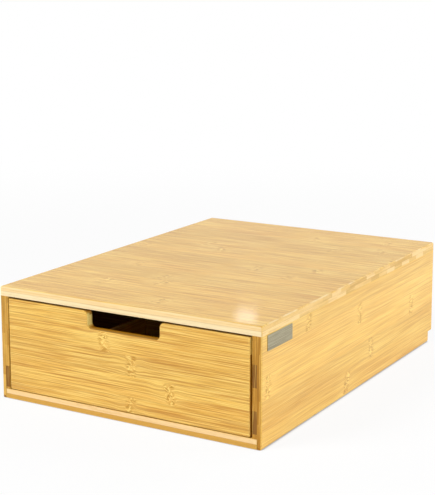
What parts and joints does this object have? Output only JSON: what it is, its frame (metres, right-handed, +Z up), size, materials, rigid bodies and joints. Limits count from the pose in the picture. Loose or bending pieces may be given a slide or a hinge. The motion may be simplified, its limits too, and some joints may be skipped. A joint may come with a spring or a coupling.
{
  "type": "coffee pod drawer",
  "caption": "Low bamboo case that a coffee machine stands on, with one inset drawer opened by a finger notch and divided inside into cells for coffee pods.",
  "frame": {"origin": "middle of the case's footprint on the surface that it stands on", "axes": "+X right and +Z up seen from the drawer front, which faces -Y; the drawer opens towards -Y"},
  "size_m": [0.31, 0.43, 0.12],
  "materials": {
    "case_bamboo": "two-ply pressed bamboo, clear satin lacquer",
    "front_bamboo": "two-ply pressed bamboo, clear satin lacquer, finely brushed grain",
    "inner_bamboo": "pressed bamboo, thin matt lacquer",
    "divider_bamboo": "thin pressed bamboo, thin matt lacquer",
    "dowel_beech": "plain beech dowel",
    "plate_steel": "fine brushed, bare"
  },
  "bodies": {
    "case": {"top_board": "case_bamboo", "left_side_board": "case_bamboo", "right_side_board": "case_bamboo", "bottom_board": "case_bamboo", "back_board": "inner_bamboo", "top_dowels": "dowel_beech", "back_side_dowels": "dowel_beech", "back_foot_dowels": "dowel_beech"},
    "drawer": {"drawer_front": "front_bamboo", "drawer_left_side": "inner_bamboo", "drawer_right_side": "inner_bamboo", "drawer_back": "inner_bamboo", "drawer_panel": "inner_bamboo", "drawer_front_dowels": "dowel_beech", "drawer_back_dowels": "dowel_beech", "long_divider_left": "divider_bamboo", "long_divider_right": "divider_bamboo", "cross_divider_front": "divider_bamboo", "cross_divider_middle": "divider_bamboo", "cross_divider_rear": "divider_bamboo"}
  },
  "joints": [
    {"name": "drawer_slide", "type": "slide", "parent": "case", "child": "drawer", "axis": [0, -1, 0], "range_m": [0, 0.32]}
  ]
}
